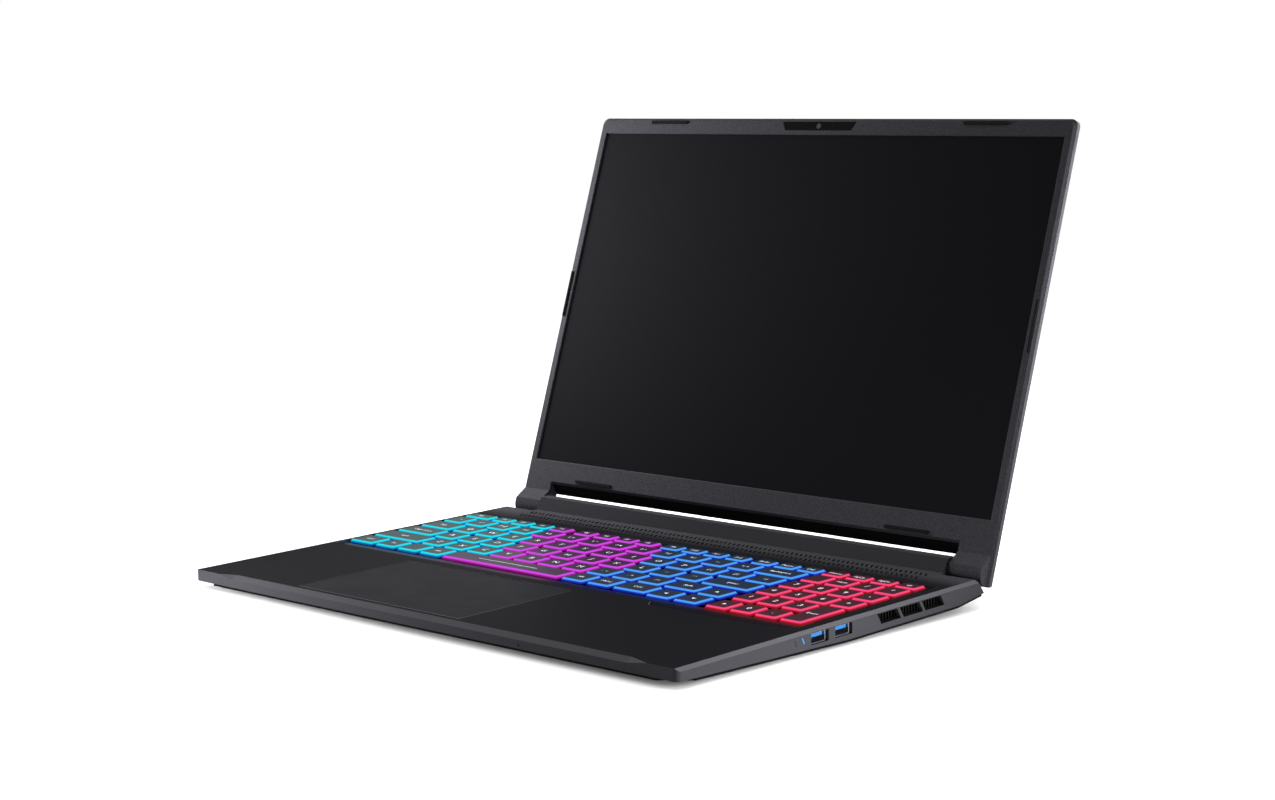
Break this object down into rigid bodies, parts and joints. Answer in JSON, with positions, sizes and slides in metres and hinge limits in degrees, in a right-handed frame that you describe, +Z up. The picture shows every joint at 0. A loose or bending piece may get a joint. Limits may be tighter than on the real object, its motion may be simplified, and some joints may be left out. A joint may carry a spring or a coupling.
{
  "type": "laptop computer",
  "caption": "Dark laptop computer with a sixteen-inch screen, lit keyboard with number pad, wide touchpad, side sockets and exhaust vents, lid open.",
  "frame": {"origin": "middle of the bounding box at table level", "axes": "+X to the right seen from the front, +Y from the front edge to the back, +Z up"},
  "size_m": [0.3602, 0.3382, 0.2611],
  "materials": {
    "case": "matte near-black",
    "cover": "matte black",
    "lid_shell": "satin charcoal",
    "lid_strip": "satin charcoal",
    "bezel": "fine-grained charcoal",
    "screen": "semi-gloss black",
    "camera_glass": "gloss black",
    "bumper": "matte black",
    "plate": "satin",
    "touchpad": "smooth matte near-black",
    "steel": "satin",
    "board": "solder-mask green",
    "copper": "satin copper",
    "fins": "bare",
    "fan": "matte black",
    "rotor": "matte black",
    "battery": "black wrap",
    "speaker": "matte black",
    "socket_metal": "bright",
    "socket_plastic": "matte black",
    "tongue": "blue",
    "light_pipe": "lit pale blue",
    "grille": "matte black",
    "foot": "matte black",
    "key": "matte near-black, lit edges"
  },
  "bodies": {
    "base": {"keyboard_plate": "plate", "touchpad_bracket": "steel", "port_boards": "board", "audio_socket": "socket_plastic", "status_lights": "light_pipe", "vent_grilles": "grille", "main_board": "board", "processor_plates": "copper", "heat_pipes": "copper", "memory_modules": "board", "storage_drive": "board", "wireless_card": "board", "battery_pack": "battery", "usb_shells": "socket_metal", "usb_tongues": "tongue", "power_inlet": "socket_plastic", "video_socket": "socket_metal", "usb_c_sockets": "socket_metal", "right_fan_housing": "fan", "left_fan_housing": "fan", "right_fin_stacks": "fins", "left_fin_stacks": "fins", "right_speaker": "speaker", "left_speaker": "speaker", "right_hinge_bracket": "steel", "left_hinge_bracket": "steel", "top_case": "case", "rear_bar": "case", "port_frames": "case", "bottom_cover": "cover", "bottom_screws": "steel", "front_feet": "foot", "rear_foot": "foot"},
    "lid": {"lid_back_cover": "lid_shell", "antenna_strip": "lid_strip", "screen_bezel": "bezel", "display_panel": "screen", "camera_window": "camera_glass", "camera_module": "board", "screen_bumpers": "bumper", "left_hinge_arm": "steel", "right_hinge_arm": "steel", "left_hinge_shaft": "steel", "right_hinge_shaft": "steel"},
    "touchpad": {"touchpad": "touchpad"},
    "left_fan": {"left_fan_rotor": "rotor"},
    "right_fan": {"right_fan_rotor": "rotor"},
    "function_row_keys_body": {"function_row_keys": "key"},
    "power_key_body": {"power_key": "key"},
    "number_row_keys_body": {"number_row_keys": "key"},
    "upper_row_keys_body": {"upper_row_keys": "key"},
    "home_row_keys_body": {"home_row_keys": "key"},
    "enter_key_body": {"enter_key": "key"},
    "lower_row_keys_body": {"lower_row_keys": "key"},
    "bottom_row_keys_body": {"bottom_row_keys": "key"},
    "space_bar_body": {"space_bar": "key"},
    "arrow_keys_body": {"arrow_keys": "key"},
    "number_pad_keys_body": {"number_pad_keys": "key"},
    "number_pad_enter_body": {"number_pad_enter": "key"}
  },
  "joints": [
    {"name": "lid_hinge", "type": "hinge", "parent": "base", "child": "lid", "pos_m": [0, 0.08618, 0.01806], "axis": [1, 0, 0], "range_deg": [-12, 109.16]},
    {"name": "touchpad_click", "type": "hinge", "parent": "base", "child": "touchpad", "pos_m": [0, -0.07812, 0.01275], "axis": [1, 0, 0], "range_deg": [0, 0.35], "stiffness_Nm_per_rad": 12, "springref_deg": -0.11},
    {"name": "left_fan_spin", "type": "hinge", "parent": "base", "child": "left_fan", "pos_m": [-0.112, 0.01496, 0.00966], "axis": [0, -0.0253, 0.9997], "continuous": true},
    {"name": "right_fan_spin", "type": "hinge", "parent": "base", "child": "right_fan", "pos_m": [0.112, 0.01496, 0.00966], "axis": [0, -0.0253, 0.9997], "continuous": true},
    {"name": "function_row_keys_press", "type": "slide", "parent": "base", "child": "function_row_keys_body", "axis": [0, -0.0253, 0.9997], "range_m": [-0.0015, 0], "stiffness_N_per_m": 5700, "springref_m": 0.0004},
    {"name": "power_key_press", "type": "slide", "parent": "base", "child": "power_key_body", "axis": [0, -0.0253, 0.9997], "range_m": [-0.0015, 0], "stiffness_N_per_m": 300, "springref_m": 0.0004},
    {"name": "number_row_keys_press", "type": "slide", "parent": "base", "child": "number_row_keys_body", "axis": [0, -0.0253, 0.9997], "range_m": [-0.0015, 0], "stiffness_N_per_m": 4200, "springref_m": 0.0004},
    {"name": "upper_row_keys_press", "type": "slide", "parent": "base", "child": "upper_row_keys_body", "axis": [0, -0.0253, 0.9997], "range_m": [-0.0015, 0], "stiffness_N_per_m": 4200, "springref_m": 0.0004},
    {"name": "home_row_keys_press", "type": "slide", "parent": "base", "child": "home_row_keys_body", "axis": [0, -0.0253, 0.9997], "range_m": [-0.0015, 0], "stiffness_N_per_m": 3600, "springref_m": 0.0004},
    {"name": "enter_key_press", "type": "slide", "parent": "base", "child": "enter_key_body", "axis": [0, -0.0253, 0.9997], "range_m": [-0.0015, 0], "stiffness_N_per_m": 300, "springref_m": 0.0004},
    {"name": "lower_row_keys_press", "type": "slide", "parent": "base", "child": "lower_row_keys_body", "axis": [0, -0.0253, 0.9997], "range_m": [-0.0015, 0], "stiffness_N_per_m": 3600, "springref_m": 0.0004},
    {"name": "bottom_row_keys_press", "type": "slide", "parent": "base", "child": "bottom_row_keys_body", "axis": [0, -0.0253, 0.9997], "range_m": [-0.0015, 0], "stiffness_N_per_m": 2100, "springref_m": 0.0004},
    {"name": "space_bar_press", "type": "slide", "parent": "base", "child": "space_bar_body", "axis": [0, -0.0253, 0.9997], "range_m": [-0.0015, 0], "stiffness_N_per_m": 300, "springref_m": 0.0004},
    {"name": "arrow_keys_press", "type": "slide", "parent": "base", "child": "arrow_keys_body", "axis": [0, -0.0253, 0.9997], "range_m": [-0.0015, 0], "stiffness_N_per_m": 1200, "springref_m": 0.0004},
    {"name": "number_pad_keys_press", "type": "slide", "parent": "base", "child": "number_pad_keys_body", "axis": [0, -0.0253, 0.9997], "range_m": [-0.0015, 0], "stiffness_N_per_m": 5100, "springref_m": 0.0004},
    {"name": "number_pad_enter_press", "type": "slide", "parent": "base", "child": "number_pad_enter_body", "axis": [0, -0.0253, 0.9997], "range_m": [-0.0015, 0], "stiffness_N_per_m": 300, "springref_m": 0.0004}
  ]
}
